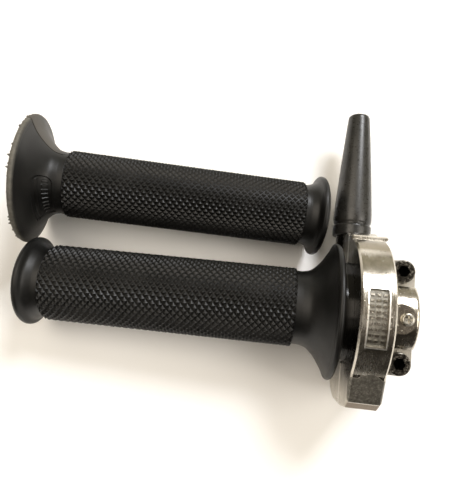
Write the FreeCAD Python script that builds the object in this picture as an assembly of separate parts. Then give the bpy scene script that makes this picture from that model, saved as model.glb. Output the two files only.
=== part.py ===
import FreeCAD, Part
import math
import os

# Twist throttle for a motorcycle handlebar, with the plain grip for the other end of the bar.
# The bar frame has X along the handlebar towards the clamp, Y along the cable and Z up.
# Its origin is the middle of the clamp's bore. Everything is drawn in that frame with the split
# of the housing level, then turned a little, so that the control rests on the floor on its
# underside and on the rim of its outer flange.

# handlebar and clearances
bar_radius = 11.1
clamp_clearance = 0.03
tube_running_clearance = 0.08
seal_running_clearance = 0.06
seal_width = 1.0
seal_depth = 1.4
thread_clearance = 0.05
end_play = 0.1
free_gap = 0.35
tiny = 0.01

# throttle tube, drum and the two end positions that the housing fixes along the bar
tube_wall = 1.5
face_x = -18.2
wall_x = -6.0
clamp_end_x = 6.3
side_wall = 2.1
tube_outer_radius = bar_radius + tube_running_clearance + tube_wall
groove_x = -13.7
groove_width = 2.0
groove_radius = 19.0
drum_flange_height = 3.0
drum_flange_width = 1.0
collar_radius = 19.5
collar_end_x = -21.4
collar_ridge_depth = 0.5
collar_ridge_width = 0.6
collar_ridges = 2
shoulder_height = 2.3
shoulder_width = 0.8
spline_count = 6
spline_height = 0.8
spline_width = 2.4
circlip_width = 1.0
circlip_groove_depth = 0.6
circlip_height = 1.7
circlip_open_angle = 40.0
thrust_washer_width = 1.0
thrust_washer_radius = 17.0
nipple_radius = 3.6
nipple_depth_radius = 17.6
nipple_angle = 258.0

# throttle travel, and the lug on the drum that stops it
twist_range = 80.0
twist_margin = 1.5
lug_angle = 275.0
lug_span = 16.0
lug_height = 3.6

# housing halves, split through the bar's axis
drum_flange_radius = groove_radius + drum_flange_height
cavity_radius = drum_flange_radius + 2.5
band_wall = 5.0
band_radius = cavity_radius + band_wall
floor_depth = 29.6
housing_roll = 5.5
tail_reach = 35.5
tail_shoulder_reach = 34.2
tail_shoulder_height = 11.4
tail_top_reach = 31.4
tail_top_height = 16.0
facet_start_angle = 136.5
ledge_reach = 31.3
ledge_top_reach = 30.3
ledge_height = 5.6
ledge_tab_length = 1.8
ledge_tab_width = 1.6
ledge_tab_depth = 3.0
ledge_tab_rounding = 0.7
nose_reach = 33.3
nose_start = 5.0
lower_tail_radius = 18.0
lower_nose_radius = 9.0
face_bevel = 0.7

# panel sunk in the band, with three rows of plain ribs
panel_x = -15.4
panel_width = 6.5
panel_y = -11.4
panel_length = 19.5
panel_depth = 0.8
panel_lip_width = 0.5
panel_lip_height = 0.15
rib_height = 0.5
rib_rows = 3
ribs_per_row = 9
rib_width = 1.35
rib_thickness = 0.75

# handlebar clamp
arch_wall = 3.9
arch_half_width = 11.5
arch_rounding = 1.3
lug_reach = 21.6
lug_top = 6.6
lug_root = 5.5
lug_depth = 13.0
lug_corner_radius = 5.0
clamp_gap = 0.5
boss_x = -0.8
boss_radius = 5.4
boss_height = 5.1

# M5 cap screws with low heads, and their washers
screw_x = 0.8
screw_clearance = 3.4
screw_radius = 2.5
screw_hole_radius = 2.75
screw_head_radius = 4.25
screw_head_height = 3.5
screw_socket_flats = 4.0
screw_socket_depth = 2.2
screw_depth = 10.0
washer_radius = 4.6
washer_thickness = 0.8

# small cross-head screw in the saddle, a little to the rear of the crown
small_screw_x = 1.2
small_screw_y = -0.8
small_screw_radius = 1.5
small_head_radius = 2.3
small_head_height = 1.5
small_screw_gap = 0.8
cross_depth = 0.9
cross_width = 0.6
cross_length = 2.6

# dowel pins between the halves
pin_radius = 1.25
pin_length = 8.0
tail_pin_y = -31.0
nose_pin_y = 27.9

# cable inlet
cable_radius = 1.0
inlet_boss_radius = 6.6
inlet_boss_end = 37.6
cable_play = 0.5
adjuster_radius = 4.0
adjuster_start = 22.0
adjuster_end = 50.0
adjuster_head_length = 4.0
adjuster_head_flats = 9.0
socket_radius = 2.8
socket_start = 40.0
seat_radius = 2.2
cable_hole_radius = 1.3
locknut_flats = 11.0
locknut_length = 3.0
lock_washer_thickness = 0.8
lock_washer_radius = 6.3
seat_length = 2.0

# rubber boot on the cable
boot_start = 34.0
boot_end = 91.0
boot_radius = 8.3
boot_tip_radius = 4.8
boot_tip_bore = 3.3
boot_mouth_radius = inlet_boss_radius + free_gap
boot_collar_length = 5.0
boot_collar_edge = 0.5
boot_neck_radius = 7.9

# rubber grips: sizes along the axis start at the face of the large flange
grip_length = 124.4
grip_throttle_x = -22.2
throttle_flange_radius = 26.6
plain_flange_radius = 26.6
flange_rim = 2.6
flare_length = 13.6
knurl_start = 15.9
knurl_length = 99.5
throttle_end_radius = 18.1
plain_end_radius = 17.3
end_rim = 3.0
end_wall = 3.0
neck_depth = 1.1
grip_wall = 2.9
plain_bore_radius = bar_radius - 0.1

# where the plain grip lies beside the control
plain_grip_end_x = -27.4
plain_grip_y = 41.0
plain_grip_turn = 0.7

inner_face_x = face_x + side_wall
inner_wall_x = wall_x - side_wall
seal_start = (face_x + inner_face_x - seal_width) / 2
clamp_radius = bar_radius + clamp_clearance
arch_radius = clamp_radius + arch_wall
boss_top = bar_radius + boss_height
small_screw_tip = bar_radius + small_screw_gap
screw_y = clamp_radius + screw_clearance + screw_radius
tube_bore_radius = bar_radius + tube_running_clearance
throttle_knurl_radius = tube_outer_radius + grip_wall
plain_knurl_radius = bar_radius + grip_wall
opening_radius = collar_radius + free_gap
shoulder_radius = tube_outer_radius + shoulder_height
circlip_radius = tube_outer_radius + circlip_height
lug_radius = drum_flange_radius + lug_height
cable_z = -groove_radius - cable_radius
plain_grip_x = plain_grip_end_x - grip_length
thrust_washer_x = inner_wall_x - thrust_washer_width - end_play
circlip_x = thrust_washer_x - circlip_width - 5 * end_play
drum_end_x = circlip_x
drum_flange_x = groove_x + groove_width / 2 + drum_flange_width
tube_end_x = circlip_x + circlip_width + 4 * end_play
tube_far_x = grip_throttle_x - grip_length + end_wall
end_crest = grip_length - 0.6 * end_rim


origin = FreeCAD.Vector(0, 0, 0)
along_x = FreeCAD.Vector(1, 0, 0)
along_y = FreeCAD.Vector(0, 1, 0)
along_z = FreeCAD.Vector(0, 0, 1)


def rod_x(radius, start, end, y=0.0, z=0.0):
    return Part.makeCylinder(radius, end - start, FreeCAD.Vector(start, y, z), along_x)


def rod_y(radius, start, end):
    base = FreeCAD.Vector(groove_x, start, cable_z)
    return Part.makeCylinder(radius, end - start, base, along_y)


def rod_z(radius, x, y, start, end):
    return Part.makeCylinder(radius, end - start, FreeCAD.Vector(x, y, start), along_z)


def ring_x(outer, inner, start, end):
    return rod_x(outer, start, end).cut(rod_x(inner, start - 1, end + 1))


def block(x0, x1, y0, y1, z0, z1):
    return Part.makeBox(x1 - x0, y1 - y0, z1 - z0, FreeCAD.Vector(x0, y0, z0))


def sector_x(radius, start, end, first_angle, last_angle):
    # wedge about the bar's axis, its angles measured from +Y towards +Z
    span = last_angle - first_angle
    wedge = Part.makeCylinder(radius, end - start, origin, along_z, span)
    wedge.rotate(origin, FreeCAD.Vector(1, 1, 1), 120)
    wedge.rotate(origin, along_x, first_angle)
    wedge.translate(FreeCAD.Vector(start, 0, 0))
    return wedge


def side_prism(edges, start, end):
    face = Part.Face(Part.Wire(edges))
    face.translate(FreeCAD.Vector(start, 0, 0))
    return face.extrude(FreeCAD.Vector(end - start, 0, 0))


def at(y, z):
    return FreeCAD.Vector(0, y, z)


def on_circle(radius, angle, y=0.0, z=0.0):
    turn = math.radians(angle)
    return at(y + radius * math.cos(turn), z + radius * math.sin(turn))


def arc(radius, first, last, y=0.0, z=0.0):
    stops = [on_circle(radius, turn, y, z) for turn in (first, (first + last) / 2, last)]
    return Part.Arc(*stops).toShape()


def line(a, b):
    return Part.makeLine(a, b)


def bevel_face_rims(shape, size):
    # takes the sharp edge off both side faces, away from the split
    rims = []
    for edge in shape.Edges:
        box = edge.BoundBox
        flat = box.XLength < tiny
        on_split = abs(box.ZMax) < tiny and abs(box.ZMin) < tiny
        if flat and not on_split:
            rims.append(edge)
    return shape.makeChamfer(size, rims)


def upper_outline():
    ledge_angle = math.degrees(math.asin(ledge_height / band_radius))
    foot = on_circle(band_radius, ledge_angle)
    brow = on_circle(band_radius, facet_start_angle)
    tail_top = at(-tail_top_reach, tail_top_height)
    tail_shoulder = at(-tail_shoulder_reach, tail_shoulder_height)
    return [
        line(at(ledge_reach, 0), at(ledge_top_reach, ledge_height)),
        line(at(ledge_top_reach, ledge_height), foot),
        arc(band_radius, ledge_angle, facet_start_angle),
        line(brow, tail_top),
        line(tail_top, tail_shoulder),
        line(tail_shoulder, at(-tail_reach, 0)),
        line(at(-tail_reach, 0), at(ledge_reach, 0)),
    ]


def corner_centre(y, radius):
    # centre of a rounded corner that touches the sloping underside
    roll = math.radians(housing_roll)
    return at(y, -(floor_depth - radius + y * math.sin(roll)) / math.cos(roll))


def lower_outline():
    # the underside slopes by the roll, so that it lies flat when the control is set down
    down = 270 - housing_roll
    tail = corner_centre(lower_tail_radius - tail_reach, lower_tail_radius)
    nose = corner_centre(nose_reach - lower_nose_radius, lower_nose_radius)
    tail_foot = on_circle(lower_tail_radius, down, tail.y, tail.z)
    nose_foot = on_circle(lower_nose_radius, down, nose.y, nose.z)
    return [
        line(at(-tail_reach, 0), at(-tail_reach, tail.z)),
        arc(lower_tail_radius, 180, down, tail.y, tail.z),
        line(tail_foot, nose_foot),
        arc(lower_nose_radius, down, 360, nose.y, nose.z),
        line(at(nose_reach, nose.z), at(nose_reach, -nose_start)),
        line(at(nose_reach, -nose_start), at(ledge_reach, 0)),
        line(at(ledge_reach, 0), at(-tail_reach, 0)),
    ]


def clamp_lug(side, low, high):
    # block around a clamp screw, with its outer corner rounded
    inner = side * lug_root
    outer = side * lug_reach
    lug = block(wall_x - 0.5, clamp_end_x, min(inner, outer), max(inner, outer), low, high)
    corner_x = clamp_end_x - lug_corner_radius
    corner_y = side * (lug_reach - lug_corner_radius)
    far_y = side * (lug_reach + 1)
    waste = block(corner_x, clamp_end_x + 1, min(corner_y, far_y), max(corner_y, far_y), low - 1, high + 1)
    waste = waste.cut(rod_z(lug_corner_radius, corner_x, corner_y, low - 2, high + 2))
    return lug.cut(waste)


def drum_space():
    # room inside both halves for the drum, its collar and its stop lug
    space = rod_x(cavity_radius, inner_face_x, inner_wall_x)
    space = space.fuse(rod_x(opening_radius, face_x - 1, inner_face_x + 1))
    space = space.fuse(rod_x(opening_radius + seal_depth, seal_start, seal_start + seal_width))
    first = lug_angle - twist_range - lug_span / 2 - twist_margin
    last = lug_angle + lug_span / 2 + twist_margin
    pocket_start = drum_flange_x - drum_flange_width - free_gap
    pocket_end = drum_flange_x + free_gap
    space = space.fuse(sector_x(lug_radius + free_gap, pocket_start, pocket_end, first, last))
    return space.fuse(rod_x(clamp_radius, inner_wall_x - 1, clamp_end_x + 1))


def panel_ribs():
    ribs = []
    floor_radius = band_radius - panel_depth
    step = panel_length / (ribs_per_row + 1)
    row_step = panel_width / rib_rows
    for row in range(rib_rows):
        x = panel_x + row_step * (row + 0.5) - rib_width / 2
        for place in range(ribs_per_row):
            y = panel_y + step * (place + 1) - rib_thickness / 2
            ribs.append(block(x, x + rib_width, y, y + rib_thickness, 0, band_radius))
    top = ring_x(floor_radius + rib_height, floor_radius - rib_height, panel_x, panel_x + panel_width)
    return top.common(Part.makeCompound(ribs))


def panel_lip():
    # low raised border around the sunk panel
    start = panel_x - panel_lip_width
    end = panel_x + panel_width + panel_lip_width
    near = panel_y - panel_lip_width
    far = panel_y + panel_length + panel_lip_width
    lip = ring_x(band_radius + panel_lip_height, cavity_radius + 1, start, end)
    return lip.common(block(start, end, near, far, 0, band_radius + 1))


def ledge_tab():
    # the ledge runs on past the band, towards the clamp
    low = ledge_height - ledge_tab_depth
    end = wall_x + ledge_tab_length
    tab = block(wall_x - 1, end, ledge_top_reach - ledge_tab_width, ledge_top_reach, low, ledge_height)
    corners = [edge for edge in tab.Edges if edge.BoundBox.XMin > end - tiny and edge.BoundBox.YLength < tiny]
    return tab.makeFillet(ledge_tab_rounding, corners)


def make_housing_upper():
    shell = side_prism(upper_outline(), face_x, wall_x)
    shell = bevel_face_rims(shell, face_bevel)
    arch = rod_x(arch_radius, wall_x - 0.5, clamp_end_x)
    half = arch_half_width
    arch = arch.common(block(wall_x - 1, clamp_end_x, -half, half, 0, arch_radius))
    end_rims = [edge for edge in arch.Edges if edge.BoundBox.XMin > clamp_end_x - tiny]
    crown = [edge for edge in end_rims if edge.BoundBox.ZMax > clamp_radius]
    arch = arch.makeFillet(arch_rounding, crown)
    shell = shell.fuse(arch)
    for side in (-1, 1):
        shell = shell.fuse(clamp_lug(side, 0, lug_top))
    boss = rod_z(boss_radius, boss_x, small_screw_y, clamp_radius, boss_top)
    shell = shell.fuse(boss.common(block(wall_x - 1, clamp_end_x, -half, half, 0, boss_top)))
    shell = shell.fuse(panel_lip()).fuse(ledge_tab())
    recess = ring_x(band_radius + 2, band_radius - panel_depth, panel_x, panel_x + panel_width)
    panel_end = panel_y + panel_length
    recess = recess.common(block(panel_x, panel_x + panel_width, panel_y, panel_end, 0, band_radius + 2))
    shell = shell.cut(recess).fuse(panel_ribs())
    shell = shell.cut(drum_space())
    for side in (-1, 1):
        shell = shell.cut(rod_z(screw_hole_radius, screw_x, side * screw_y, -1, lug_top + 1))
    low = small_screw_tip - 2
    shell = shell.cut(rod_z(small_screw_radius, small_screw_x, small_screw_y, low, boss_top + 1))
    return shell.cut(pin_holes()).removeSplitter()


def make_housing_lower():
    shell = side_prism(lower_outline(), face_x, wall_x)
    shell = bevel_face_rims(shell, face_bevel)
    saddle = rod_x(arch_radius, wall_x - 0.5, clamp_end_x)
    half = arch_radius
    saddle = saddle.common(block(wall_x - 1, clamp_end_x, -half, half, -half, -clamp_gap))
    shell = shell.fuse(saddle)
    for side in (-1, 1):
        shell = shell.fuse(clamp_lug(side, -lug_depth, -clamp_gap))
    shell = shell.fuse(rod_y(inlet_boss_radius, ledge_reach - 4, inlet_boss_end))
    shell = shell.cut(drum_space())
    for side in (-1, 1):
        shell = shell.cut(rod_z(screw_radius, screw_x, side * screw_y, -screw_depth - 1, 1))
    shell = shell.cut(rod_y(cable_hole_radius + cable_play, 5, adjuster_start + 1))
    shell = shell.cut(rod_y(adjuster_radius + thread_clearance, adjuster_start - 0.5, inlet_boss_end + 1))
    return shell.cut(pin_holes()).removeSplitter()


def pin_holes():
    middle = (face_x + wall_x) / 2
    depth = pin_length / 2
    holes = rod_z(pin_radius, middle, tail_pin_y, -depth, depth)
    return holes.fuse(rod_z(pin_radius, middle, nose_pin_y, -depth, depth))


def make_cap_screw(y):
    seat = lug_top + washer_thickness
    head = rod_z(screw_head_radius, screw_x, y, seat, seat + screw_head_height)
    rims = [edge for edge in head.Edges if edge.BoundBox.ZMin > seat + 1 and edge.Closed]
    head = head.makeFillet(0.5, rims)
    socket_floor = seat + screw_head_height - screw_socket_depth
    socket = hexagon(screw_socket_flats, screw_x, y, socket_floor, screw_socket_depth + 1)
    shank = rod_z(screw_radius, screw_x, y, -screw_depth, seat)
    return head.cut(socket).fuse(shank)


def hexagon(flats, x, y, z, height):
    radius = flats / math.sqrt(3)
    corners = []
    for side in range(7):
        turn = math.radians(60 * side)
        corners.append(FreeCAD.Vector(x + radius * math.cos(turn), y + radius * math.sin(turn), z))
    return Part.Face(Part.makePolygon(corners)).extrude(FreeCAD.Vector(0, 0, height))


def hexagon_y(flats, start, length):
    nut = hexagon(flats, 0, 0, 0, length)
    nut.rotate(origin, along_x, -90)
    nut.translate(FreeCAD.Vector(groove_x, start, cable_z))
    return nut


def make_washer(y):
    disc = rod_z(washer_radius, screw_x, y, lug_top, lug_top + washer_thickness)
    return disc.cut(rod_z(screw_hole_radius, screw_x, y, 0, lug_top + 2))


def make_locating_screw():
    x, y = small_screw_x, small_screw_y
    top = boss_top + small_head_height
    head = rod_z(small_head_radius, x, y, boss_top, top)
    rims = [edge for edge in head.Edges if edge.BoundBox.ZMin > boss_top + 0.5 and edge.Closed]
    head = head.makeFillet(0.7, rims)
    half = cross_length / 2
    slim = cross_width / 2
    low = top - cross_depth
    cross = block(x - half, x + half, y - slim, y + slim, low, top + 1)
    cross = cross.fuse(block(x - slim, x + slim, y - half, y + half, low, top + 1))
    return head.cut(cross).fuse(rod_z(small_screw_radius, x, y, small_screw_tip, boss_top))


def make_dust_seal():
    inner = collar_radius + seal_running_clearance
    return ring_x(opening_radius + seal_depth, inner, seal_start, seal_start + seal_width)


def make_tube():
    tube = rod_x(tube_outer_radius, tube_far_x, tube_end_x)
    tube = tube.fuse(rod_x(shoulder_radius, grip_throttle_x, grip_throttle_x + shoulder_width))
    half = spline_width / 2
    spline_top = tube_outer_radius + spline_height
    for place in range(spline_count):
        spline = block(collar_end_x, drum_end_x, -half, half, 0, spline_top)
        spline.rotate(origin, along_x, 360 * place / spline_count)
        tube = tube.fuse(spline)
    groove_floor = tube_outer_radius - circlip_groove_depth
    tube = tube.cut(ring_x(tube_outer_radius + 2, groove_floor, circlip_x, circlip_x + circlip_width))
    return tube.cut(rod_x(tube_bore_radius, tube_far_x - 1, tube_end_x + 1)).removeSplitter()


def make_drum(tube):
    drum = rod_x(collar_radius, collar_end_x, drum_end_x)
    flange_start = groove_x - groove_width / 2 - drum_flange_width
    drum = drum.fuse(rod_x(drum_flange_radius, flange_start, drum_flange_x))
    half = groove_width / 2
    groove = ring_x(drum_flange_radius + 1, groove_radius, groove_x - half, groove_x + half)
    lug_start = drum_flange_x - drum_flange_width
    lug = sector_x(lug_radius, lug_start, drum_flange_x, lug_angle - lug_span / 2, lug_angle + lug_span / 2)
    drum = drum.cut(groove).fuse(lug)
    floor_radius = collar_radius - collar_ridge_depth
    for place in range(collar_ridges):
        start = collar_end_x + collar_ridge_width * (2 * place + 1.5)
        drum = drum.cut(ring_x(collar_radius + 1, floor_radius, start, start + collar_ridge_width))
    pocket = on_circle(nipple_depth_radius, nipple_angle)
    drum = drum.cut(rod_x(nipple_radius, groove_x - half, drum_end_x + 1, pocket.y, pocket.z))
    return drum.cut(rod_x(tube_outer_radius, collar_end_x - 1, drum_end_x + 1)).cut(tube).removeSplitter()


def make_circlip():
    end = circlip_x + circlip_width
    clip = ring_x(circlip_radius, tube_outer_radius - circlip_groove_depth, circlip_x, end)
    half = circlip_open_angle / 2
    return clip.cut(sector_x(circlip_radius + 1, circlip_x - 1, end + 1, 90 - half, 90 + half))


def make_thrust_washer():
    end = thrust_washer_x + thrust_washer_width
    return ring_x(thrust_washer_radius, bar_radius + free_gap, thrust_washer_x, end)


def make_adjuster():
    body = rod_y(adjuster_radius, adjuster_start, adjuster_end)
    head_start = adjuster_end - adjuster_head_length
    body = body.fuse(hexagon_y(adjuster_head_flats, head_start, adjuster_head_length))
    body = body.cut(rod_y(cable_hole_radius, adjuster_start - 1, adjuster_end + 1))
    body = body.cut(rod_y(seat_radius + thread_clearance, socket_start - seat_length, socket_start + 1))
    return body.cut(rod_y(socket_radius, socket_start, adjuster_end + 1)).removeSplitter()


def make_cable_seat():
    ring = rod_y(seat_radius, socket_start - seat_length, socket_start)
    return ring.cut(rod_y(cable_hole_radius, socket_start - seat_length - 1, socket_start + 1))


def make_lock_washer():
    ring = rod_y(lock_washer_radius, inlet_boss_end, inlet_boss_end + lock_washer_thickness)
    return ring.cut(rod_y(adjuster_radius + free_gap, inlet_boss_end - 1, inlet_boss_end + 2))


def make_locknut():
    start = inlet_boss_end + lock_washer_thickness
    nut = hexagon_y(locknut_flats, start, locknut_length)
    return nut.cut(rod_y(adjuster_radius + thread_clearance, start - 1, start + locknut_length + 1))


def revolved(points, curved):
    # closed profile of (length, radius) points turned about X: a curved entry names the
    # middle point of an arc through its neighbours
    edges = []
    count = len(points)
    place = 0
    while place < count:
        here = FreeCAD.Vector(points[place][0], 0, points[place][1])
        after = points[(place + 1) % count]
        if (place + 1) % count in curved:
            beyond = points[(place + 2) % count]
            middle = FreeCAD.Vector(after[0], 0, after[1])
            edges.append(Part.Arc(here, middle, FreeCAD.Vector(beyond[0], 0, beyond[1])).toShape())
            place += 2
        else:
            edges.append(Part.makeLine(here, FreeCAD.Vector(after[0], 0, after[1])))
            place += 1
    face = Part.Face(Part.Wire(edges))
    return face.revolve(origin, along_x, 360)


def make_grip(knurl_radius, bore_radius, end_radius, flange_radius):
    neck = knurl_radius - neck_depth
    knurl_end = knurl_start + knurl_length
    rim_start = grip_length - end_rim
    points = [
        (0, bore_radius),
        (0, flange_radius - flange_rim / 2),
        (flange_rim / 2, flange_radius),
        (flange_rim, flange_radius - flange_rim / 2),
        (flange_rim + 3.4, neck + 5.0),
        (flare_length, neck),
        (knurl_start, neck),
        (knurl_start, knurl_radius),
        (knurl_end, knurl_radius),
        (knurl_end, neck),
        (knurl_end + 1.6, neck),
        (rim_start - 1.2, neck + 1.2),
        (rim_start, end_radius - 0.6),
        (end_crest, end_radius),
        (grip_length, end_radius - 1.8),
        (grip_length, 0.0),
        (grip_length - end_wall, 0.0),
        (grip_length - end_wall, bore_radius),
    ]
    return revolved(points, (2, 4, 11, 13))


def make_throttle_grip():
    grip = make_grip(throttle_knurl_radius, tube_outer_radius, throttle_end_radius, throttle_flange_radius)
    grip.rotate(origin, along_z, 180)
    grip.translate(FreeCAD.Vector(grip_throttle_x, 0, 0))
    return grip


def make_boot():
    collar_end = boot_start + boot_collar_length
    neck_end = collar_end + 1.0
    points = [
        (boot_start, boot_mouth_radius),
        (boot_start, boot_radius - boot_collar_edge),
        (boot_start + boot_collar_edge, boot_radius),
        (collar_end - boot_collar_edge, boot_radius),
        (collar_end, boot_radius - boot_collar_edge),
        (collar_end + 0.3, boot_neck_radius),
        (neck_end, boot_neck_radius),
        (neck_end + 0.6, boot_radius - 0.1),
        (neck_end + 4.0, boot_radius),
        (boot_end - 1.0, boot_tip_radius),
        (boot_end, boot_tip_radius - 1.0),
        (boot_end, boot_tip_bore),
        (boot_end - 8.0, boot_tip_bore),
        (inlet_boss_end + 20.0, boot_mouth_radius - 0.8),
        (inlet_boss_end + 1.0, boot_mouth_radius),
    ]
    boot = revolved(points, ())
    boot.rotate(origin, along_z, 90)
    boot.translate(FreeCAD.Vector(groove_x, 0, cable_z))
    return boot


def resting_angle():
    # the floor touches the housing's lower edge and the outer rim of the throttle grip
    rim_x = grip_throttle_x - end_crest
    contact_x = face_x + face_bevel
    return math.degrees(math.atan2(floor_depth - throttle_end_radius, contact_x - rim_x))


def set_down(shape, angle):
    shape.rotate(origin, along_x, housing_roll)
    shape.rotate(origin, along_y, -angle)


def lay_plain_grip(angle):
    # lies on the same floor, on the rims of its own two flanges
    grip = make_grip(plain_knurl_radius, plain_bore_radius, plain_end_radius, plain_flange_radius)
    first = flange_rim / 2
    last = end_crest
    tilt = math.degrees(math.atan2(plain_flange_radius - plain_end_radius, last - first))
    grip.rotate(origin, along_y, tilt)
    grip.rotate(origin, along_z, plain_grip_turn)
    turn = math.radians(angle)
    contact_x = face_x + face_bevel
    floor_z = contact_x * math.sin(turn) - floor_depth * math.cos(turn)
    lean = math.radians(tilt)
    rise = floor_z + first * math.sin(lean) + plain_flange_radius * math.cos(lean)
    grip.translate(FreeCAD.Vector(plain_grip_x, plain_grip_y, rise))
    return grip


angle = resting_angle()
tube = make_tube()
pieces = {
    "housing_upper": make_housing_upper(),
    "housing_lower": make_housing_lower(),
    "clamp_screw_front": make_cap_screw(screw_y),
    "clamp_screw_rear": make_cap_screw(-screw_y),
    "clamp_washer_front": make_washer(screw_y),
    "clamp_washer_rear": make_washer(-screw_y),
    "locating_screw": make_locating_screw(),
    "dowel_pins": Part.makeCompound(pin_holes().Solids),
    "dust_seal": make_dust_seal(),
    "thrust_washer": make_thrust_washer(),
    "throttle_tube": tube,
    "cable_drum": make_drum(tube),
    "drum_circlip": make_circlip(),
    "throttle_grip_rubber": make_throttle_grip(),
    "cable_adjuster": make_adjuster(),
    "cable_seat": make_cable_seat(),
    "locknut_washer": make_lock_washer(),
    "adjuster_locknut": make_locknut(),
    "cable_boot": make_boot(),
}

os.makedirs("parts", exist_ok=True)
for name, shape in pieces.items():
    set_down(shape, angle)
pieces["plain_grip_rubber"] = lay_plain_grip(angle)
for name, shape in pieces.items():
    shape.exportStep("parts/" + name + ".step")
    box = shape.BoundBox
    print(name, len(shape.Solids), shape.isValid(), round(shape.Volume, 1), round(box.ZMin, 3))
print("resting angle", round(angle, 4))
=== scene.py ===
import math

import bmesh
import bpy
from mathutils import Matrix, Vector
from mathutils.noise import noise as mathNoise


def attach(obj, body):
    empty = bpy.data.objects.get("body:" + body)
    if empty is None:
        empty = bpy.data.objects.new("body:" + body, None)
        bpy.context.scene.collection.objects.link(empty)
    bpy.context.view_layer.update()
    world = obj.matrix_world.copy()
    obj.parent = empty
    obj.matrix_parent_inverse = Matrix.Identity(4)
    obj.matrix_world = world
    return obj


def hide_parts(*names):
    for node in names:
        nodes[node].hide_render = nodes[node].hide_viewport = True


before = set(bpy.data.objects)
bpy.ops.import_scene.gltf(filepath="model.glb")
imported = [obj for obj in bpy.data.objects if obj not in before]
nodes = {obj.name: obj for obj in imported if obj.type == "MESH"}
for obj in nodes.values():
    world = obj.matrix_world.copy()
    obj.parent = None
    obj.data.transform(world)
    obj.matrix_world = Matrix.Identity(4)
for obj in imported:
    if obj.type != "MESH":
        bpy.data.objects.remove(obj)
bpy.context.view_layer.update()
mm = 0.001
metre = 1000  # in mm, so that a pattern's scale is metre / its size

# how the control lies: the bar rises to the clamp and the housing is rolled on its underside
rest = {
    "tilt": 5.162,  # degrees
    "roll": 5.5,  # degrees
    "floor": -31.06,  # mm below the middle of the clamp
}
barFrame = (Matrix.Rotation(-math.radians(rest["tilt"]), 4, "Y")
            @ Matrix.Rotation(math.radians(rest["roll"]), 4, "X"))
barAxes = [Vector(barFrame.col[i][:3]) for i in range(3)]

# settings of the nodes that are used most
multiply = {"operation": "MULTIPLY"}
add = {"operation": "ADD"}
subtract = {"operation": "SUBTRACT"}
addClamped = {"operation": "ADD", "use_clamp": True}
dotProduct = {"operation": "DOT_PRODUCT"}
colourMix = {"data_type": "RGBA"}
mixed = 2  # the colour output of a mix


def hexColour(code):
    # sRGB hex to the linear values that a shader wants
    channels = [int(code[i:i + 2], 16) / 255 for i in (1, 3, 5)]
    linear = [c / 12.92 if c <= 0.04045 else ((c + 0.055) / 1.055) ** 2.4 for c in channels]
    return (*linear, 1.0)


def addNode(tree, kind, settings=None, links=None, output=0):
    # links fill the inputs, by name or in order, with a value, a hex colour or another
    # node's output; a ramp's stops are (place, hex colour) from left to right
    node = tree.nodes.new("ShaderNode" + kind)
    for key, value in (settings or {}).items():
        if key == "stops":
            elements = node.color_ramp.elements
            while len(elements) < len(value):
                elements.new(0.5)
            for element, (place, code) in zip(elements, value):
                element.position = place
                element.color = hexColour(code)
        else:
            setattr(node, key, value)
    pairs = links.items() if isinstance(links, dict) else enumerate(links or [])
    for key, value in pairs:
        if isinstance(value, bpy.types.NodeSocket):
            tree.links.new(value, node.inputs[key])
        else:
            node.inputs[key].default_value = hexColour(value) if isinstance(value, str) else value
    return node.outputs[output]


def newMaterial(name):
    mat = bpy.data.materials.new(name)
    mat.use_nodes = True
    mat.node_tree.nodes.clear()
    return mat, mat.node_tree, addNode(mat.node_tree, "TexCoord", output="Object")


def finishMaterial(tree, surface):
    # surface holds the shader's inputs, plain values where they are the same all over
    shader = addNode(tree, "BsdfPrincipled", None, surface)
    out = tree.nodes.new("ShaderNodeOutputMaterial")
    tree.links.new(shader, out.inputs["Surface"])


def product(tree, factors):
    # masks and values multiplied together: of masks alone, 1 where every mask is 1
    result = factors[0]
    for factor in factors[1:]:
        result = addNode(tree, "Math", multiply, [result, factor])
    return result


def within(tree, value, low, high, edge=0.1):
    # 1 between two limits, with narrow soft edges
    rise = addNode(tree, "MapRange", None, [value, low - edge, low, 0.0, 1.0])
    fall = addNode(tree, "MapRange", None, [value, high, high + edge, 1.0, 0.0])
    return product(tree, [rise, fall])


def acrossCorner(tree, first, second):
    # distance over two legs at right angles
    squares = [addNode(tree, "Math", multiply, [leg, leg]) for leg in (first, second)]
    return addNode(tree, "Math", {"operation": "POWER"}, [addNode(tree, "Math", add, squares), 0.5])


def barPlaces(tree, coords):
    # place along the bar, along the cable and upwards, in mm from the middle of the clamp
    return [addNode(tree, "VectorMath", dotProduct, [coords, axis * metre], "Value") for axis in barAxes]


def finishMesh(name, bm, place, material, sharpAngle=40):
    # turns a bmesh drawn in mm into an object at the origin, with its place in the mesh
    bmesh.ops.transform(bm, matrix=Matrix.Scale(mm, 4), space=Matrix.Identity(4), verts=bm.verts)
    bmesh.ops.transform(bm, matrix=place, space=Matrix.Identity(4), verts=bm.verts)
    bmesh.ops.recalc_face_normals(bm, faces=bm.faces)
    for face in bm.faces:
        face.smooth = True
    for edge in bm.edges:
        if len(edge.link_faces) == 2 and edge.calc_face_angle(0) > math.radians(sharpAngle):
            edge.smooth = False
    mesh = bpy.data.meshes.new(name)
    bm.to_mesh(mesh)
    bm.free()
    obj = bpy.data.objects.new(name, mesh)
    bpy.context.scene.collection.objects.link(obj)
    mesh.materials.append(material)
    return obj


def smoothCurve(points, steps):
    # rounded line through the points, in equal steps per span
    line = []
    for i in range(len(points) - 1):
        p0 = Vector(points[max(i - 1, 0)])
        p1 = Vector(points[i])
        p2 = Vector(points[i + 1])
        p3 = Vector(points[min(i + 2, len(points) - 1)])
        for k in range(steps):
            t = k / steps
            line.append(0.5 * (2 * p1 + (p2 - p0) * t + (2 * p0 - 5 * p1 + 4 * p2 - p3) * t ** 2
                               + (3 * p1 - p0 - 3 * p2 + p3) * t ** 3))
    line.append(Vector(points[-1]))
    return line


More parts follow.
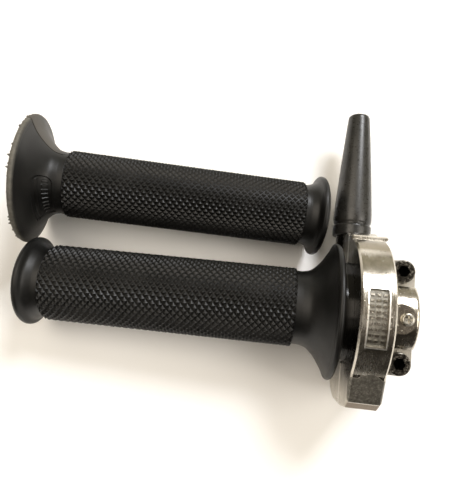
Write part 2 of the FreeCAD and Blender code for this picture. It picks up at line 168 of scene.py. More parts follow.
def spinOutline(bm, outline, steps, closed):
    # the outline is (along the axis, radius) and turns about X
    verts = [bm.verts.new((p[0], 0, p[1])) for p in outline]
    edges = [bm.edges.new(pair) for pair in zip(verts, verts[1:])]
    if closed:
        edges.append(bm.edges.new((verts[-1], verts[0])))
    bmesh.ops.spin(bm, geom=verts + edges, cent=(0, 0, 0), axis=(1, 0, 0), dvec=(0, 0, 0),
                   angle=2 * math.pi, steps=steps, use_merge=True, use_normal_flip=False)
    bmesh.ops.remove_doubles(bm, verts=bm.verts, dist=0.0005)


# both rubber grips, in mm: a knurled sleeve between a wide hand flange and a small end flange,
# with sizes along the axis that start at the face of the wide flange
gripShape = {
    "length": 124.4,
    "knurlStart": 15.9,
    "knurlLength": 99.5,
    "cellsAround": 30,
    "cellsAlong": 37,
    "pyramidHeight": 0.8,
    "grooveWidth": 0.10,
    "slopeWidth": 0.58,
    "slopeShare": 0.86,  # of the pyramid's height
    "tipWidth": 0.16,
    "tipShare": 0.10,
    "neckDepth": 1.1,
    "rim": 2.6,
    "flangeEdge": 1.5,  # where the flare meets the rim, below the flange's radius
    "boreMouth": (0.5, 0.6),  # length and width of the chamfer
    "boreLength": 121.4,
    "flareLine": [(13.5, 0.0), (10.3, 0.9), (7.0, 3.9), (4.2, 8.0)],  # along, above the neck
    "rimLine": [(2.6, 1.2), (2.08, 0.25), (1.17, 0.0), (0.312, 0.5), (0.0, 1.5)],  # along, below
    "coneLine": [(116.7, 0.0), (118.2, 0.35), (120.4, 1.5)],  # along, above the neck
    "coneEnd": (121.4, 0.7),  # along, below the end flange's radius
    "endLine": [(121.85, 0.15), (122.75, 0.0), (123.74, 0.5), (124.35, 1.7), (124.4, 2.4)],
    "sharpAngle": 32,
}
throttleGripShape = {"knurlRadius": 15.58, "flangeRadius": 26.6, "endRadius": 18.1, "boreRadius": 12.68}
plainGripShape = {"knurlRadius": 14.0, "flangeRadius": 26.6, "endRadius": 17.3, "boreRadius": 11.0}
# marks that the mould left on the plain grip's flange, in mm and degrees about the axis
mouldMarks = {
    "finer": 3,  # how many times finer the flange is spun to carry them
    "flareEnd": 14.4,
    "boreRadius": 12.5,  # nothing inside this radius is marked
    "seamAngle": 47.0,
    "seamDepth": 1.0,
    "flashPlace": 0.31,
    "flashReach": 0.16,
    "flashHeight": 1.7,
    "flashPerDegree": 1.3,
    "flashLevel": 0.14,  # noise above this stands out as a nib
    "flashSunk": 0.05,
    "flashLowest": -0.6,  # sine of the angle, none further down where the rim rests
}
# sunk name field of the flare, filled with plain bars
fieldShape = {
    "middle": 9.3,
    "halfWidth": 3.1,
    "firstAngle": 102.0,
    "lastAngle": 179.0,
    "depth": 0.5,
    "bars": 9,
    "barHeight": 0.3,
    "barShare": 0.26,  # half of a bar's width, as a share of the pitch
    "barReach": (-0.2, 1.7),  # along the axis, from the middle
    "lineOffset": -1.7,
    "lineHalfWidth": 0.22,
}
throttleFlangeX = -22.2  # mm along the bar, the face of the throttle grip's wide flange
# the plain grip on the floor: middle of its wide flange's face, turn in degrees, and how far from
# each end of the grip its flanges touch the floor, in mm
plainGripRest = {"x": -151.8, "y": 41.0, "turn": 0.7, "rimRests": 1.3, "endRests": 1.8}


def gripRubber(name, marks=None, place=None):
    # nitrile rubber moulded against a bead-blasted cavity: satin, with a thin waxy bloom in patches
    mat, tree, coords = newMaterial(name)
    bloom = addNode(tree, "TexNoise", None,
                    {"Vector": coords, "Scale": metre / 14.0, "Detail": 4.0, "Roughness": 0.55})
    dust = addNode(tree, "TexNoise", None,
                   {"Vector": coords, "Scale": metre / 1.6, "Detail": 3.0, "Roughness": 0.7})
    parts = [product(tree, [bloom, 0.75]), product(tree, [dust, 0.25])]
    cloudy = addNode(tree, "Math", add, parts)
    tones = [(0.36, "#070706"), (0.52, "#0c0c0b"), (0.68, "#161513")]
    tone = addNode(tree, "ValToRGB", {"stops": tones}, [cloudy])
    gloss = addNode(tree, "MapRange", None, [cloudy, 0.35, 0.65, 0.36, 0.5])
    if marks:
        # the rim is scuffed grey where the mould flash was trimmed
        axis = Vector(place.col[0][:3])
        fromFace = addNode(tree, "VectorMath", dotProduct, [coords, axis * metre], "Value")
        fromFace = addNode(tree, "Math", subtract, [fromFace, place.translation.dot(axis) / mm])
        onRim = addNode(tree, "MapRange", None, [fromFace, 1.9, 2.6, 1.0, 0.0])
        scuffed = product(tree, [onRim, addNode(tree, "MapRange", None, [dust, 0.3, 0.6, 0.55, 1.0])])
        tone = addNode(tree, "Mix", colourMix, {0: scuffed, 6: tone, 7: "#66635b"}, mixed)
        gloss = addNode(tree, "Math", add, [gloss, product(tree, [scuffed, 0.3])])
        # beyond the mould seam the flare is painted lighter, a painted highlight of its lit side that fades
        # with distance
        turn = math.radians(marks["seamAngle"] - 90)
        beyond = Vector(place.col[1][:3]) * math.cos(turn) + Vector(place.col[2][:3]) * math.sin(turn)
        fromSeam = addNode(tree, "VectorMath", dotProduct, [coords, beyond * metre], "Value")
        fromSeam = addNode(tree, "Math", subtract, [fromSeam, place.translation.dot(beyond) / mm])
        paintedSeamHighlight = product(tree, [
            addNode(tree, "MapRange", None, [fromSeam, 0.0, 0.5, 0.0, 1.0]),
            addNode(tree, "MapRange", None, [fromFace, 9.0, 14.0, 1.0, 0.0]),
            addNode(tree, "MapRange", None, [cloudy, 0.35, 0.65, 0.6, 1.0]),
            addNode(tree, "MapRange", None, [fromSeam, 3.0, 16.0, 1.0, 0.1]),
            addNode(tree, "MapRange", None, [fromFace, 0.3, 0.8, 0.0, 1.0]),
        ])
        tone = addNode(tree, "Mix", colourMix, {0: paintedSeamHighlight, 6: tone, 7: "#4f4b45"}, mixed)
        gloss = addNode(tree, "Math", addClamped, [gloss, product(tree, [paintedSeamHighlight, 0.15])])
    # the blasting's grain is 0.35 mm here, coarser than the real one, so that it shows
    fine = addNode(tree, "TexNoise", None,
                   {"Vector": coords, "Scale": metre / 0.35, "Detail": 2.0, "Roughness": 0.55})
    coarse = addNode(tree, "TexNoise", None,
                     {"Vector": coords, "Scale": metre / 2.4, "Detail": 2.0, "Roughness": 0.55})
    grain = addNode(tree, "Bump", None, {"Height": fine, "Distance": 0.03 * mm, "Strength": 0.5})
    skin = addNode(tree, "Bump", None,
                   {"Height": coarse, "Distance": 0.04 * mm, "Strength": 0.25, "Normal": grain})
    finishMaterial(tree, {"Base Color": tone, "Roughness": gloss, "IOR": 1.52,
                          "Specular IOR Level": 0.36, "Normal": skin})
    return mat


def knurlSkin(bm, knurlRadius, finer):
    # a tube of quads turned into diamonds, each raised into a blunt pyramid
    s = gripShape
    floorRadius = knurlRadius - s["pyramidHeight"]
    pitch = s["knurlLength"] / s["cellsAlong"]
    row = [(s["knurlStart"] + pitch * i, floorRadius) for i in range(s["cellsAlong"] + 1)]
    spinOutline(bm, row, s["cellsAround"], False)
    corners = set(bm.verts)
    bmesh.ops.poke(bm, faces=bm.faces[:], offset=0, center_mode="MEAN")
    for vert in bm.verts:
        out = Vector((0, vert.co.y, vert.co.z)).normalized() * floorRadius
        vert.co = (vert.co.x, out.y, out.z)
    old = [e for e in bm.edges if e.verts[0] in corners and e.verts[1] in corners and not e.is_boundary]
    bmesh.ops.dissolve_edges(bm, edges=old, use_verts=False, use_face_split=False)
    bmesh.ops.recalc_face_normals(bm, faces=bm.faces)
    diamonds = bm.faces[:]
    slopeHeight = s["pyramidHeight"] * s["slopeShare"]
    tipHeight = s["pyramidHeight"] * s["tipShare"]
    insets = [(s["grooveWidth"], 0), (s["slopeWidth"], slopeHeight), (s["tipWidth"], tipHeight)]
    for width, height in insets:
        bmesh.ops.inset_individual(bm, faces=diamonds, thickness=width, depth=height,
                                   use_even_offset=True)
    # rim edges are split as finely as the flanges that they meet
    rims = [e for e in bm.edges if e.is_boundary]
    nearRim = [e for e in rims if e.verts[0].co.x < s["knurlStart"] + pitch]
    farRim = [e for e in rims if e.verts[0].co.x > s["knurlStart"] + pitch]
    bmesh.ops.subdivide_edges(bm, edges=nearRim, cuts=4 * finer - 1)
    bmesh.ops.subdivide_edges(bm, edges=farRim, cuts=3)
    for vert in bm.verts:
        if vert.is_boundary:
            out = Vector((0, vert.co.y, vert.co.z)).normalized() * floorRadius
            vert.co = (vert.co.x, out.y, out.z)


def fieldDepth(place, angle, radius):
    # how far the name field is sunk at a place: a slot with one round end, barred across
    f = fieldShape
    down = math.radians(angle - f["firstAngle"]) * radius
    up = math.radians(f["lastAngle"] - angle) * radius
    half = f["halfWidth"]
    if down < half:
        half = math.sqrt(max(half ** 2 - (half - down) ** 2, 0)) if down > 0 else 0
    aside = place - f["middle"]
    if down < 0 or up < 0 or abs(aside) > half:
        return 0
    share = (angle - f["firstAngle"]) / (f["lastAngle"] - f["firstAngle"]) * (f["bars"] + 1)
    onBar = 0.7 < share < f["bars"] + 0.3 and abs(share - round(share)) < f["barShare"]
    if onBar and f["barReach"][0] < aside < f["barReach"][1]:
        return f["depth"] - f["barHeight"]
    if abs(aside - f["lineOffset"]) < f["lineHalfWidth"] and 1.5 < down and 1.0 < up:
        return f["depth"] - f["barHeight"]
    return f["depth"]


def markFlange(bm, steps):
    # mould seam along the flare, the sunk field, and ragged flash on the rim
    m = mouldMarks
    bmesh.ops.recalc_face_normals(bm, faces=bm.faces)
    bm.normal_update()
    for vert in bm.verts:
        place, radius = vert.co.x, math.hypot(vert.co.y, vert.co.z)
        if place > m["flareEnd"] or radius < m["boreRadius"]:
            continue
        outward = vert.normal if vert.normal.dot(Vector((1, vert.co.y, vert.co.z))) > 0 else -vert.normal
        angle = math.degrees(math.atan2(vert.co.z, vert.co.y)) % 360
        fromSeam = abs((angle - m["seamAngle"] + 90) % 180 - 90)
        depth = m["seamDepth"] if fromSeam < 180 / steps + 0.1 else 0
        onFlash = abs(place - m["flashPlace"]) < m["flashReach"]
        if place > gripShape["rim"] + 0.4:
            depth = max(depth, fieldDepth(place, angle, radius))
        elif onFlash and math.sin(math.radians(angle)) > m["flashLowest"]:
            height = mathNoise(Vector((angle * m["flashPerDegree"], 3.1, 0))) - m["flashLevel"]
            depth = m["flashSunk"] - m["flashHeight"] * max(0, height)
        vert.co = vert.co - outward * depth


def gripOutlines(shape, flareSteps):
    # two open outlines: flange and bore from the knurl's near end, and the end flange from its far end
    s = gripShape
    neck = shape["knurlRadius"] - s["neckDepth"]
    floorRadius = shape["knurlRadius"] - s["pyramidHeight"]
    knurlEnd = s["knurlStart"] + s["knurlLength"]
    chamferLength, chamferWidth = s["boreMouth"]
    flare = [(x, neck + r) for x, r in s["flareLine"]]
    flare.append((s["rim"], shape["flangeRadius"] - s["flangeEdge"]))
    near = [(s["knurlStart"], floorRadius), (s["knurlStart"], neck)]
    near += smoothCurve(flare, flareSteps)
    near += smoothCurve([(x, shape["flangeRadius"] - r) for x, r in s["rimLine"]], 3)
    near += [(0, shape["boreRadius"] + chamferWidth), (chamferLength, shape["boreRadius"])]
    near += [(s["boreLength"], shape["boreRadius"]), (s["boreLength"], 0)]
    cone = [(x, neck + r) for x, r in s["coneLine"]]
    cone.append((s["coneEnd"][0], shape["endRadius"] - s["coneEnd"][1]))
    far = [(knurlEnd, floorRadius), (knurlEnd, neck)]
    far += smoothCurve(cone, 6)
    far += smoothCurve([(x, shape["endRadius"] - r) for x, r in s["endLine"]], 3)
    far.append((s["length"], 0))
    return near, far


def makeGrip(name, shape, place, material, marks=None):
    # the flange end is spun finer where it carries the mould's marks
    finer = marks["finer"] if marks else 1
    bm = bmesh.new()
    knurlSkin(bm, shape["knurlRadius"], finer)
    near, far = gripOutlines(shape, 16 if marks else 8)
    for outline, share in ((near, finer), (far, 1)):
        steps = gripShape["cellsAround"] * 4 * share
        shell = bmesh.new()
        spinOutline(shell, outline, steps, False)
        if share > 1:
            markFlange(shell, steps)
        part = bpy.data.meshes.new("part")
        shell.to_mesh(part)
        shell.free()
        bm.from_mesh(part)
        bpy.data.meshes.remove(part)
    bmesh.ops.remove_doubles(bm, verts=bm.verts, dist=0.02)
    openEdges = sum(1 for e in bm.edges if len(e.link_faces) != 2)
    print(name, "has", len(bm.faces), "faces and", openEdges, "open edges")
    return finishMesh(name, bm, place, material, gripShape["sharpAngle"])


throttlePlace = (barFrame @ Matrix.Translation((throttleFlangeX * mm, 0, 0))
                 @ Matrix.Rotation(math.pi, 4, "Z"))
throttleGrip = makeGrip("throttleGrip", throttleGripShape, throttlePlace, gripRubber("grip rubber"))
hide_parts("throttle_grip_rubber")
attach(throttleGrip, "throttle")

# the plain grip lies on the rims of its two flanges
plainFlange = plainGripShape["flangeRadius"]
restLength = gripShape["length"] - plainGripRest["endRests"] - plainGripRest["rimRests"]
plainTilt = math.atan2(plainFlange - plainGripShape["endRadius"], restLength)
rimRise = plainGripRest["rimRests"] * math.sin(plainTilt)
plainRise = rest["floor"] + rimRise + plainFlange * math.cos(plainTilt)
plainCorner = Vector((plainGripRest["x"], plainGripRest["y"], plainRise)) * mm
plainPlace = (Matrix.Translation(plainCorner) @ Matrix.Rotation(math.radians(plainGripRest["turn"]), 4, "Z")
              @ Matrix.Rotation(plainTilt, 4, "Y"))
markedRubber = gripRubber("grip rubber with a scuffed rim", mouldMarks, plainPlace)
plainGrip = makeGrip("plainGrip", plainGripShape, plainPlace, markedRubber, mouldMarks)
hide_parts("plain_grip_rubber")
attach(plainGrip, "plain_grip")
print("grips made")

# tapered rubber boot over the adjuster: (along the cable, radius) in mm
bootShape = {
    "axis": (-13.7, 0, -20.0),
    "collar": [(34.1, 7.5), (34.25, 8.0), (34.8, 8.24), (36.5, 8.28), (38.3, 8.24), (38.85, 7.95),
               (38.95, 7.6)],
    "sleeve": [(39.3, 7.7), (39.9, 7.85), (40.6, 8.15), (43.5, 8.27), (52, 7.75), (66, 6.75), (80, 5.65),
               (89.2, 4.86)],
    "tip": [(89.9, 4.78), (90.6, 4.5), (90.95, 3.95)],
    "inside": [(90.95, 3.5), (90.2, 3.32), (83, 3.32), (57.6, 6.2), (38.6, 6.95), (34.05, 6.97)],
    "steps": 72,
    "sharpAngle": 50,
}


def bootRubber():
    # softer dipped rubber, with a leathery skin and a silky shine
    mat, tree, coords = newMaterial("boot rubber")
    skin = addNode(tree, "TexNoise", None,
                   {"Vector": coords, "Scale": metre / 1.1, "Detail": 3.0, "Roughness": 0.6})
    patches = addNode(tree, "TexNoise", None,
                      {"Vector": coords, "Scale": metre / 9.0, "Detail": 3.0, "Roughness": 0.55})
    tone = addNode(tree, "ValToRGB", {"stops": [(0.35, "#1b1b19"), (0.65, "#2a2926")]}, [patches])
    gloss = addNode(tree, "MapRange", None, [skin, 0.3, 0.7, 0.24, 0.4])
    relief = addNode(tree, "Bump", None, {"Height": skin, "Distance": 0.06 * mm, "Strength": 0.55})
    finishMaterial(tree, {"Base Color": tone, "Roughness": gloss, "IOR": 1.52, "Normal": relief})
    return mat


def makeBoot():
    outline = smoothCurve(bootShape["collar"], 4)
    outline += smoothCurve(bootShape["sleeve"], 6)
    outline += smoothCurve(bootShape["tip"], 4)
    bm = bmesh.new()
    spinOutline(bm, outline + bootShape["inside"], bootShape["steps"], True)
    place = (barFrame @ Matrix.Translation(Vector(bootShape["axis"]) * mm)
             @ Matrix.Rotation(math.pi / 2, 4, "Z"))
    return finishMesh("cableBoot", bm, place, bootRubber(), bootShape["sharpAngle"])


boot = makeBoot()
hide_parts("cable_boot")
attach(boot, "boot")
print("boot made")

# where the finish of the housing changes, in mm along the bar (x), along the cable (y), upwards (z)
# and outwards from the bar (out)
housingFinish = {
    "facetMiddle": -11.4,  # x of the hump in the facet's edge
    "facetHalfWidth": 4.2,
    "facetHump": 1.6,
    "facetEdge": -22.9,  # y
    "facetFloor": (15.6, 15.9),  # z
    "lugX": (-5.8, 8.0),
    "lugY": (11.7, 25.0),
    "lugZ": (-15.0, 6.7),
    "panelX": (-15.3, -9.0),
    "panelY": (-11.3, 8.0),
    "panelOut": (27.0, 28.85),
    "lipX": (-16.0, -8.3),
    "lipY": (-12.1, 8.8),
    "lipOut": (29.54, 29.6),
    "ledgeY": (29.7, 29.9),
    "ledgeZ": (1.5, 2.0),
    "noseY": (23.2, 27.4),
    "drumFaceX": (-18.14, -18.06),
    "tailEndX": (-17.9, -17.5),
    "tailEndY": (-31.9, -31.6),
    "tailEndZ": (10.0, 11.4),
    "jointDirt": (0.08, 0.14),
    "jointHighlight": (0.15, 1.0),
}


def castAreas(tree, coords, x, y, z, out):
    # 1 where the casting was never buffed: tail facet, clamp lugs and the floor of the panel
    h = housingFinish
    offMiddle = addNode(tree, "Math", add, [x, -h["facetMiddle"]])
    offMiddle = addNode(tree, "Math", {"operation": "DIVIDE"}, [offMiddle, h["facetHalfWidth"]])
    square = product(tree, [offMiddle, offMiddle])
    hump = addNode(tree, "Math", {"operation": "SUBTRACT", "use_clamp": True}, [1.0, square])
    limit = addNode(tree, "Math", add, [product(tree, [hump, h["facetHump"]]), h["facetEdge"]])
    wobble = addNode(tree, "TexNoise", None,
                     {"Vector": coords, "Scale": metre / 2.0, "Detail": 3.0, "Roughness": 0.55})
    ragged = addNode(tree, "Math", add, [limit, product(tree, [wobble, 0.5])])
    behind = addNode(tree, "Math", subtract, [ragged, y])
    facet = product(tree, [
        addNode(tree, "MapRange", None, [behind, -0.1, 0.15, 0.0, 1.0]),
        addNode(tree, "MapRange", None, [z, *h["facetFloor"], 0.0, 1.0]),
    ])
    aside = addNode(tree, "Math", {"operation": "ABSOLUTE"}, [y])
    lugs = product(tree, [
        within(tree, x, *h["lugX"]),
        within(tree, z, *h["lugZ"]),
        within(tree, aside, *h["lugY"]),
        0.55,
    ])
    panel = product(tree, [
        within(tree, x, *h["panelX"]),
        within(tree, y, *h["panelY"]),
        within(tree, out, *h["panelOut"], edge=0.15),
    ])
    largest = {"operation": "MAXIMUM"}
    return addNode(tree, "Math", largest, [facet, addNode(tree, "Math", largest, [lugs, panel])])


def castingPits(tree, coords, cellMm, sizeShare):
    # 1 inside small round pits scattered over the surface, about one in three cells has one
    distance = addNode(tree, "TexVoronoi", None, {"Vector": coords, "Scale": metre / cellMm}, "Distance")
    tint = addNode(tree, "SeparateColor", None, [distance.node.outputs["Color"]], "Red")
    dots = addNode(tree, "MapRange", None, [distance, sizeShare * 0.6, sizeShare, 1.0, 0.0])
    return product(tree, [dots, addNode(tree, "Math", {"operation": "GREATER_THAN"}, [tint, 0.66])])


def housingMetal():
    # die-cast aluminium: buffed by hand along the band, so bright with soft waves and fine lines,
    # grey and grainy where only the casting skin is left
    h = housingFinish
    mat, tree, coords = newMaterial("buffed casting")
    x, y, z = barPlaces(tree, coords)
    out = acrossCorner(tree, y, z)
    cast = castAreas(tree, coords, x, y, z, out)
    ledge = product(tree, [
        addNode(tree, "MapRange", None, [y, *h["ledgeY"], 0.0, 1.0]),
        addNode(tree, "MapRange", None, [z, *h["ledgeZ"], 0.0, 1.0]),
    ])
    # painted highlight: the raised lip round the panel is coloured near white
    paintedLipHighlight = product(tree, [
        within(tree, x, *h["lipX"]),
        within(tree, y, *h["lipY"]),
        addNode(tree, "MapRange", None, [out, *h["lipOut"], 0.0, 1.0]),
    ])
    pits = product(tree, [
        castingPits(tree, coords, 1.5, 0.2),
        addNode(tree, "MapRange", None, [y, -14.0, -4.0, 0.0, 1.0]),
        addNode(tree, "Math", subtract, [1.0, ledge]),
    ])
    # buffing lines run round the band, 3 mm long and a ninth as wide
    stretched = addNode(tree, "CombineXYZ", None, [product(tree, [x, 9.0]), y, z])
    lines = addNode(tree, "TexNoise", None, {"Vector": stretched, "Scale": 0.35, "Detail": 4.0})
    tarnish = addNode(tree, "TexNoise", None,
                      {"Vector": coords, "Scale": metre / 11.0, "Detail": 5.0, "Roughness": 0.6})
    skin = addNode(tree, "TexNoise", None,
                   {"Vector": coords, "Scale": metre / 0.9, "Detail": 4.0, "Roughness": 0.75})
    buffedTones = [(0.32, "#a0998c"), (0.5, "#c3bdb1"), (0.7, "#d6d1c8")]
    tone = addNode(tree, "ValToRGB", {"stops": buffedTones}, [tarnish])
    castTones = [(0.3, "#605d56"), (0.52, "#838078"), (0.72, "#aeaaa0")]
    castTone = addNode(tree, "ValToRGB", {"stops": castTones}, [skin])
    # the face beside the drum is coloured darker, less towards the tail
    darkerDrumFace = product(tree, [
        addNode(tree, "MapRange", None, [x, *h["drumFaceX"], 0.8, 0.0]),
        addNode(tree, "MapRange", None, [y, -30.0, -23.0, 0.0, 1.0]),
    ])
    # a painted golden reflection on the steep nose of the band, brown on the slope at the end of the tail
    paintedGoldReflection = product(tree, [within(tree, y, *h["noseY"], edge=1.2), 0.7])
    tailEnd = product(tree, [
        addNode(tree, "MapRange", None, [y, *h["tailEndY"], 1.0, 0.0]),
        addNode(tree, "MapRange", None, [x, *h["tailEndX"], 0.0, 1.0]),
        addNode(tree, "MapRange", None, [z, *h["tailEndZ"], 0.0, 1.0]),
        0.95,
    ])
    # dirt in the joint between the halves, and a painted highlight along its edges
    fromJoint = addNode(tree, "Math", {"operation": "ABSOLUTE"}, [z])
    paintedJointHighlight = product(tree, [
        within(tree, fromJoint, *h["jointHighlight"], edge=0.08),
        addNode(tree, "MapRange", None, [x, -18.1, -17.8, 1.0, 0.2]),
    ])
    dirt = addNode(tree, "MapRange", None, [fromJoint, *h["jointDirt"], 1.0, 0.0])
    layers = [
        (darkerDrumFace, "#3c372e"),
        (paintedGoldReflection, "#6f6449"),
        (cast, castTone),
        (paintedLipHighlight, "#fbf8f1"),
        (tailEnd, "#55452f"),
        (product(tree, [pits, 0.6]), "#4b4538"),
        (paintedJointHighlight, "#f6f2ea"),
        (dirt, "#1e1b17"),
    ]
    for mask, colour in layers:
        tone = addNode(tree, "Mix", colourMix, {0: mask, 6: tone, 7: colour}, mixed)
    gloss = addNode(tree, "MapRange", None, [lines, 0.3, 0.7, 0.15, 0.25])
    plain = addNode(tree, "Math", {"operation": "MAXIMUM"}, [ledge, paintedLipHighlight])
    dulled = [
        addNode(tree, "MapRange", None, [tarnish, 0.4, 0.7, 0.0, 0.1]),
        product(tree, [cast, 0.3]),
        product(tree, [plain, 0.16]),
        product(tree, [pits, 0.2]),
    ]
    for part in dulled:
        gloss = addNode(tree, "Math", addClamped, [gloss, part])
    # soft waves of the hand buffing, none on the machined ledge and little towards the tail
    wavy = product(tree, [
        addNode(tree, "MapRange", None, [y, 29.0, 29.8, 1.0, 0.0]),
        addNode(tree, "MapRange", None, [y, -16.0, -2.0, 0.2, 1.0]),
    ])
    lumps = addNode(tree, "TexNoise", None,
                    {"Vector": coords, "Scale": metre / 1.6, "Detail": 3.0, "Roughness": 0.6})
    grain = addNode(tree, "TexNoise", None,
                    {"Vector": coords, "Scale": metre / 0.7, "Detail": 4.0, "Roughness": 0.7})
    rough = addNode(tree, "Math", subtract, [product(tree, [grain, cast]), product(tree, [pits, 0.7])])
    waves = addNode(tree, "Bump", None,
                    {"Height": product(tree, [lumps, wavy]), "Distance": 0.03 * mm, "Strength": 0.55})
    buffing = product(tree, [lines, wavy])
    scratched = addNode(tree, "Bump", None,
                        {"Height": buffing, "Distance": 0.015 * mm, "Strength": 0.7, "Normal": waves})
    relief = addNode(tree, "Bump", None,
                     {"Height": rough, "Distance": 0.12 * mm, "Strength": 0.9, "Normal": scratched})
    finishMaterial(tree, {"Base Color": tone, "Metallic": 1.0, "Roughness": gloss, "Normal": relief})
    return mat


# clamp screws, in the frame of the bar: axes beside the bar and top of their heads
clampScrews = {"x": 0.8, "y": 17.05, "top": 10.9, "socketRadius": 2.35}


def screwSteel():
    # black oxide on rolled steel: worn grey on the heads, with painted shade in the hex sockets
    mat, tree, coords = newMaterial("black oxide steel")
    x, y, z = barPlaces(tree, coords)
    aside = addNode(tree, "Math", subtract, [x, clampScrews["x"]])
    across = addNode(tree, "Math", {"operation": "ABSOLUTE"}, [y])
    across = addNode(tree, "Math", subtract, [across, clampScrews["y"]])
    offAxis = acrossCorner(tree, aside, across)
    top, socket = clampScrews["top"], clampScrews["socketRadius"]
    # painted shade: the hex sockets are coloured near black
    paintedSocketShade = product(tree, [
        addNode(tree, "MapRange", None, [z, top - 0.35, top - 0.1, 1.0, 0.0]),
        addNode(tree, "MapRange", None, [offAxis, socket, socket + 0.1, 1.0, 0.0]),
    ])
    worn = addNode(tree, "TexNoise", None,
                   {"Vector": coords, "Scale": metre / 0.9, "Detail": 4.0, "Roughness": 0.7})
    tones = [(0.36, "#2c2a28"), (0.5, "#55524c"), (0.66, "#8a867d")]
    tone = addNode(tree, "ValToRGB", {"stops": tones}, [worn])
    tone = addNode(tree, "Mix", colourMix, {0: paintedSocketShade, 6: tone, 7: "#0a0908"}, mixed)
    gloss = addNode(tree, "MapRange", None, [worn, 0.35, 0.65, 0.16, 0.3])
    relief = addNode(tree, "Bump", None, {"Height": worn, "Distance": 0.04 * mm, "Strength": 0.5})
    finishMaterial(tree, {"Base Color": tone, "Metallic": 1.0, "Roughness": gloss, "Normal": relief})
    return mat


def platedSteel(name, low, high, smoothest, roughest, spotMm):
    # turned steel part with a thin plating or oxide, so its colour and shine vary from spot to spot
    mat, tree, coords = newMaterial(name)
    spots = addNode(tree, "TexNoise", None,
                    {"Vector": coords, "Scale": metre / spotMm, "Detail": 4.0, "Roughness": 0.6})
    ridges = addNode(tree, "TexNoise", None,
                     {"Vector": coords, "Scale": metre / 0.6, "Detail": 3.0, "Roughness": 0.55})
    tone = addNode(tree, "ValToRGB", {"stops": [(0.35, low), (0.65, high)]}, [spots])
    gloss = addNode(tree, "MapRange", None, [spots, 0.35, 0.65, smoothest, roughest])
    relief = addNode(tree, "Bump", None, {"Height": ridges, "Distance": 0.02 * mm, "Strength": 0.5})
    finishMaterial(tree, {"Base Color": tone, "Metallic": 1.0, "Roughness": gloss, "Normal": relief})
    return mat


def mouldedNylon(name, low, high, roughness):
    # injection-moulded nylon, with an even shine and slight flow marks in its skin
    mat, tree, coords = newMaterial(name)
    flow = addNode(tree, "TexNoise", None,
                   {"Vector": coords, "Scale": metre / 7.0, "Detail": 3.0, "Roughness": 0.55})
    tone = addNode(tree, "ValToRGB", {"stops": [(0.35, low), (0.65, high)]}, [flow])
    gloss = addNode(tree, "MapRange", None, [flow, 0.35, 0.65, roughness, roughness + 0.08])
    relief = addNode(tree, "Bump", None, {"Height": flow, "Distance": 0.04 * mm, "Strength": 0.4})
    finishMaterial(tree, {"Base Color": tone, "Roughness": gloss, "IOR": 1.53, "Normal": relief})
    return mat


def greasedFelt():
    # pressed wool felt, soaked with a little grease: matt and fibrous
    mat, tree, coords = newMaterial("greased felt")
    fibres = addNode(tree, "TexNoise", None,
                     {"Vector": coords, "Scale": metre / 0.3, "Detail": 5.0, "Roughness": 0.8})
    tone = addNode(tree, "ValToRGB", {"stops": [(0.35, "#232220"), (0.65, "#4a4843")]}, [fibres])
    relief = addNode(tree, "Bump", None, {"Height": fibres, "Distance": 0.1 * mm, "Strength": 0.8})
    finishMaterial(tree, {"Base Color": tone, "Roughness": 0.85, "Sheen Weight": 0.3, "Normal": relief})
    return mat


# the CAD pieces keep their meshes and take a finish
finishes = {
    housingMetal(): ["housing_upper", "housing_lower"],
    screwSteel(): ["clamp_screw_front", "clamp_screw_rear"],
    platedSteel("zinc plate", "#9b978c", "#cfccc2", 0.2, 0.38, 1.2): [
        "clamp_washer_front", "clamp_washer_rear", "locating_screw", "dowel_pins", "cable_adjuster",
        "locknut_washer", "adjuster_locknut"],
    platedSteel("phosphated spring steel", "#3a3835", "#55524d", 0.35, 0.5, 1.0): ["drum_circlip"],
    mouldedNylon("black nylon", "#0b0b0b", "#161514", 0.14): ["throttle_tube", "cable_drum"],
    mouldedNylon("natural nylon", "#cdc8b8", "#e2decf", 0.38): ["thrust_washer", "cable_seat"],
    greasedFelt(): ["dust_seal"],
}
for material, names in finishes.items():
    for node in names:
        nodes[node].data.materials.clear()
        nodes[node].data.materials.append(material)
print("finishes set")

# paper floor, and a dark board in front, below the camera's view, that keeps the metal's front dark
studio = {
    "floorSize": 1500,  # mm, half of its side
    "boardSize": 300,
    "boardPlace": (0.0, -0.24, 0.06),
    "boardSquash": 0.3,
    "target": (-0.06, 0.01, -0.01),  # where the lamps look
    "roomSide": (0.25, 0.97, 0.0),  # the bright side of the room
}


def mattSheet(name, grainMm, stops, surface):
    # matt paper or paint with faint clouds
    mat, tree, coords = newMaterial(name)
    clouds = addNode(tree, "TexNoise", None,
                     {"Vector": coords, "Scale": metre / grainMm, "Detail": 3.0, "Roughness": 0.55})
    surface["Base Color"] = addNode(tree, "ValToRGB", {"stops": stops}, [clouds])
    finishMaterial(tree, surface)
    return mat


def makeSheet(name, size, place, material):
    bm = bmesh.new()
    bmesh.ops.create_grid(bm, x_segments=1, y_segments=1, size=size)
    finishMesh(name, bm, place, material)


paper = mattSheet("paper", 60.0, [(0.3, "#fbfbfa"), (0.7, "#fefefe")],
                  {"Roughness": 0.9, "Specular IOR Level": 0.2})
makeSheet("floor", studio["floorSize"], Matrix.Translation((0, 0, rest["floor"] * mm)), paper)

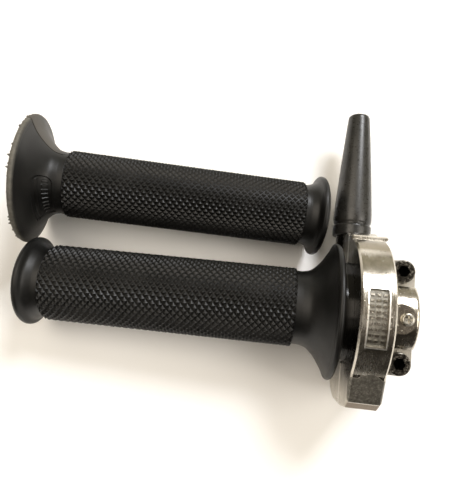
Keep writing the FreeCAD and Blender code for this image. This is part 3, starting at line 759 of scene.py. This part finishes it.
# square lamps around the object: angles in degrees, distance and size in metres, power in watts
lampSettings = ("turn", "height", "distance", "size", "power", "colour")
lamps = {
    "key": (62, 48, 1.6, 0.5, 19.0, "#fbfcff"),
    "rightFill": (-5, 47, 1.4, 0.8, 9.0, "#fff8ee"),
    "leftFill": (172, 64, 1.4, 1.0, 10.0, "#fff4e4"),
    "frontFill": (-135, 50, 1.4, 0.8, 1.6, "#fff4e4"),
}
for name, values in lamps.items():
    lamp = dict(zip(lampSettings, values))
    turn, rise = math.radians(lamp["turn"]), math.radians(lamp["height"])
    way = Vector((math.cos(turn) * math.cos(rise), math.sin(turn) * math.cos(rise), math.sin(rise)))
    light = bpy.data.lights.new(name, "AREA")
    light.shape = "SQUARE"
    light.size = lamp["size"]
    light.energy = lamp["power"]
    light.color = hexColour(lamp["colour"])[:3]
    lampObject = bpy.data.objects.new(name, light)
    lampObject.location = Vector(studio["target"]) + way * lamp["distance"]
    lampObject.rotation_euler = way.to_track_quat("Z", "Y").to_euler()
    bpy.context.scene.collection.objects.link(lampObject)

paint = mattSheet("board", 80.0, [(0.3, "#15120f"), (0.7, "#1e1b17")], {"Roughness": 0.95})
boardPlace = (Matrix.Translation(studio["boardPlace"]) @ Matrix.Rotation(math.pi / 2, 4, "X")
              @ Matrix.Diagonal((1, studio["boardSquash"], 1, 1)))
makeSheet("board", studio["boardSize"], boardPlace, paint)

# room: warm and brighter beyond the object, dark brown behind the viewer
world = bpy.data.worlds.new("studio")
bpy.context.scene.world = world
world.use_nodes = True
room = world.node_tree
facing = addNode(room, "TexCoord", output="Generated")
side = addNode(room, "VectorMath", dotProduct, [facing, studio["roomSide"]], "Value")
side = addNode(room, "MapRange", None, [side, -1.0, 1.0, 0.0, 1.0])
wallTones = [(0.0, "#191714"), (0.12, "#25221e"), (0.26, "#433d36"), (0.5, "#6c635b"),
             (0.7, "#a39b87"), (1.0, "#b7b09b")]
walls = addNode(room, "ValToRGB", {"stops": wallTones}, [side])
room.links.new(walls, room.nodes["Background"].inputs["Color"])
room.nodes["Background"].inputs["Strength"].default_value = 1.0
bpy.context.scene.view_settings.view_transform = "Standard"
print("studio ready")

cameraSetup = {
    "place": (-0.067919, -0.022308, 0.17587),
    "right": (0.99332, 0.10988, 0.03515),
    "up": (-0.11502, 0.96699, 0.22738),
    "lens": 35.52,
    "sensor": 36.0,
    "nearest": 0.01,
}
camData = bpy.data.cameras.new("camera")
camData.sensor_fit = "HORIZONTAL"
camData.sensor_width = cameraSetup["sensor"]
camData.lens = cameraSetup["lens"]
camData.clip_start = cameraSetup["nearest"]
camera = bpy.data.objects.new("camera", camData)
right, up = Vector(cameraSetup["right"]), Vector(cameraSetup["up"])
facingBack = Matrix((right, up, right.cross(up))).transposed().to_4x4()
camera.matrix_world = Matrix.Translation(cameraSetup["place"]) @ facingBack
bpy.context.scene.collection.objects.link(camera)
bpy.context.scene.camera = camera
print("camera placed")
